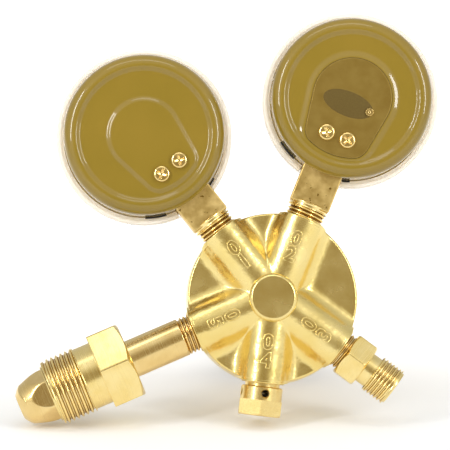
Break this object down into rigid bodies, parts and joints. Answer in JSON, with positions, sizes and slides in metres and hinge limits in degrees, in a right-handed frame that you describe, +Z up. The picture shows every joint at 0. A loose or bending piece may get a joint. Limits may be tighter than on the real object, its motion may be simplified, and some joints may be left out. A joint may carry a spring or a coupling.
{
  "type": "cylinder gas pressure regulator",
  "caption": "Cylinder gas pressure regulator: brass body, inlet nipple and nut, hose outlet, relief valve, spring bonnet with adjusting knob, and dial pressure gauges.",
  "frame": {"origin": "centre of the flat face on the boss at the back of the body, on the axis of the body, the bonnet and the knob", "axes": "+Z up; +Y out of the back of the body, so the dials and the knob face -Y; the ports leave the body square to Y"},
  "size_m": [0.1534, 0.1059, 0.1492],
  "materials": {
    "back_plate_brass": "thin brushed plate",
    "black_rubber": "fabric-reinforced rubber sheet",
    "bonnet_brass": "machined forging",
    "bronze_filter": "sintered bronze",
    "cap_plastic": "bare grey insert",
    "clear_plastic": "clear moulded polycarbonate",
    "dial_white": "white enamel on aluminium",
    "forged_brass": "hot-forged body, blasted and tumbled, with polished facets",
    "gold_paint": "gold enamel on a drawn steel cup",
    "knob_plastic": "moulded black nylon",
    "movement_brass": "stamped sheet brass",
    "plated_steel": "zinc-plated steel",
    "pointer_black": "black enamel",
    "screw_brass": "brass-plated pan-head screws",
    "seat_plastic": "white fluoropolymer",
    "socket_brass": "drawn rectangular brass bar, milled flats",
    "spring_steel": "hard-drawn wire",
    "turned_brass": "turned bar brass, bright, with fine tool marks"
  },
  "bodies": {
    "regulator": {"body": "forged_brass", "valve_nozzle": "turned_brass", "valve_spring": "spring_steel", "diaphragm": "black_rubber", "slip_ring": "movement_brass", "bonnet": "bonnet_brass", "range_spring": "spring_steel", "inlet_nipple": "turned_brass", "inlet_filter": "bronze_filter", "outlet_fitting": "turned_brass", "relief_housing": "turned_brass", "relief_spring": "spring_steel", "relief_plug": "turned_brass", "low_back_plate": "back_plate_brass", "high_socket": "socket_brass", "high_case": "gold_paint", "high_pressure_tube": "movement_brass", "high_movement_frame": "movement_brass", "high_dial": "dial_white", "high_lens": "clear_plastic", "high_case_screws": "screw_brass", "low_socket": "socket_brass", "low_case": "gold_paint", "low_pressure_tube": "movement_brass", "low_movement_frame": "movement_brass", "low_dial": "dial_white", "low_lens": "clear_plastic", "low_case_screws": "screw_brass"},
    "inlet_nut": {"inlet_nut": "turned_brass"},
    "spring_seat": {"spring_button": "plated_steel"},
    "knob": {"adjusting_screw": "plated_steel", "adjusting_knob": "knob_plastic", "knob_cap": "cap_plastic"},
    "valve_train": {"valve_poppet": "turned_brass", "valve_seat": "seat_plastic", "diaphragm_post": "turned_brass", "diaphragm_plate": "plated_steel"},
    "relief_poppet": {"relief_disc": "movement_brass"},
    "high_hand": {"high_pinion": "movement_brass", "high_pointer": "pointer_black"},
    "high_sector": {"high_sector_gear": "movement_brass"},
    "high_tube_end": {"high_tube_tip": "movement_brass", "high_link": "movement_brass"},
    "low_hand": {"low_pinion": "movement_brass", "low_pointer": "pointer_black"},
    "low_sector": {"low_sector_gear": "movement_brass"},
    "low_tube_end": {"low_tube_tip": "movement_brass", "low_link": "movement_brass"}
  },
  "joints": [
    {"name": "inlet_nut_turn", "type": "hinge", "parent": "regulator", "child": "inlet_nut", "pos_m": [0.06424, -0.0112, -0.0278], "axis": [0.9178, 0, -0.3971], "continuous": true},
    {"name": "button_travel", "type": "slide", "parent": "regulator", "child": "spring_seat", "axis": [0, 1, 0], "range_m": [0, 0.0075], "deforming": ["range_spring"]},
    {"name": "knob_turn", "type": "hinge", "parent": "spring_seat", "child": "knob", "pos_m": [0, -0.08, 0], "axis": [0, 1, 0], "range_deg": [0, 1800]},
    {"name": "valve_stroke", "type": "slide", "parent": "regulator", "child": "valve_train", "axis": [0, 1, 0], "range_m": [0, 0.0008], "deforming": ["diaphragm", "valve_spring"]},
    {"name": "relief_lift", "type": "slide", "parent": "regulator", "child": "relief_poppet", "axis": [0.1149, 0, -0.9934], "range_m": [0, 0.001], "stiffness_N_per_m": 200, "springref_m": -0.01, "deforming": ["relief_spring"]},
    {"name": "high_tube_end_travel", "type": "slide", "parent": "regulator", "child": "high_tube_end", "axis": [0.8517, 0, 0.524], "range_m": [0, 0.00348], "stiffness_N_per_m": 60, "springref_m": -0.002, "deforming": ["high_pressure_tube"]},
    {"name": "high_sector_turn", "type": "hinge", "parent": "regulator", "child": "high_sector", "pos_m": [0.04871, -0.0138, 0.04531], "axis": [0, 1, 0], "range_deg": [-33.75, 0]},
    {"name": "high_hand_turn", "type": "hinge", "parent": "regulator", "child": "high_hand", "pos_m": [0.04646, -0.0198, 0.05862], "axis": [0, 1, 0], "range_deg": [0, 270]},
    {"name": "low_tube_end_travel", "type": "slide", "parent": "regulator", "child": "low_tube_end", "axis": [-0.0279, 0, 0.9996], "range_m": [0, 0.00348], "stiffness_N_per_m": 60, "springref_m": -0.002, "deforming": ["low_pressure_tube"]},
    {"name": "low_sector_turn", "type": "hinge", "parent": "regulator", "child": "low_sector", "pos_m": [-0.01588, -0.0138, 0.06735], "axis": [0, 1, 0], "range_deg": [-33.75, 0]},
    {"name": "low_hand_turn", "type": "hinge", "parent": "regulator", "child": "low_hand", "pos_m": [-0.02853, -0.0198, 0.07206], "axis": [0, 1, 0], "range_deg": [0, 270]}
  ],
  "couplings": [
    {"joint": "knob_turn", "follows": "button_travel", "rad_per_m": 4188.4},
    {"joint": "valve_stroke", "follows": "button_travel", "ratio": 0.10666},
    {"joint": "high_sector_turn", "follows": "high_tube_end_travel", "rad_per_m": -169.1},
    {"joint": "high_hand_turn", "follows": "high_tube_end_travel", "rad_per_m": 1352.8},
    {"joint": "low_sector_turn", "follows": "low_tube_end_travel", "rad_per_m": -169.1},
    {"joint": "low_hand_turn", "follows": "low_tube_end_travel", "rad_per_m": 1352.8}
  ]
}
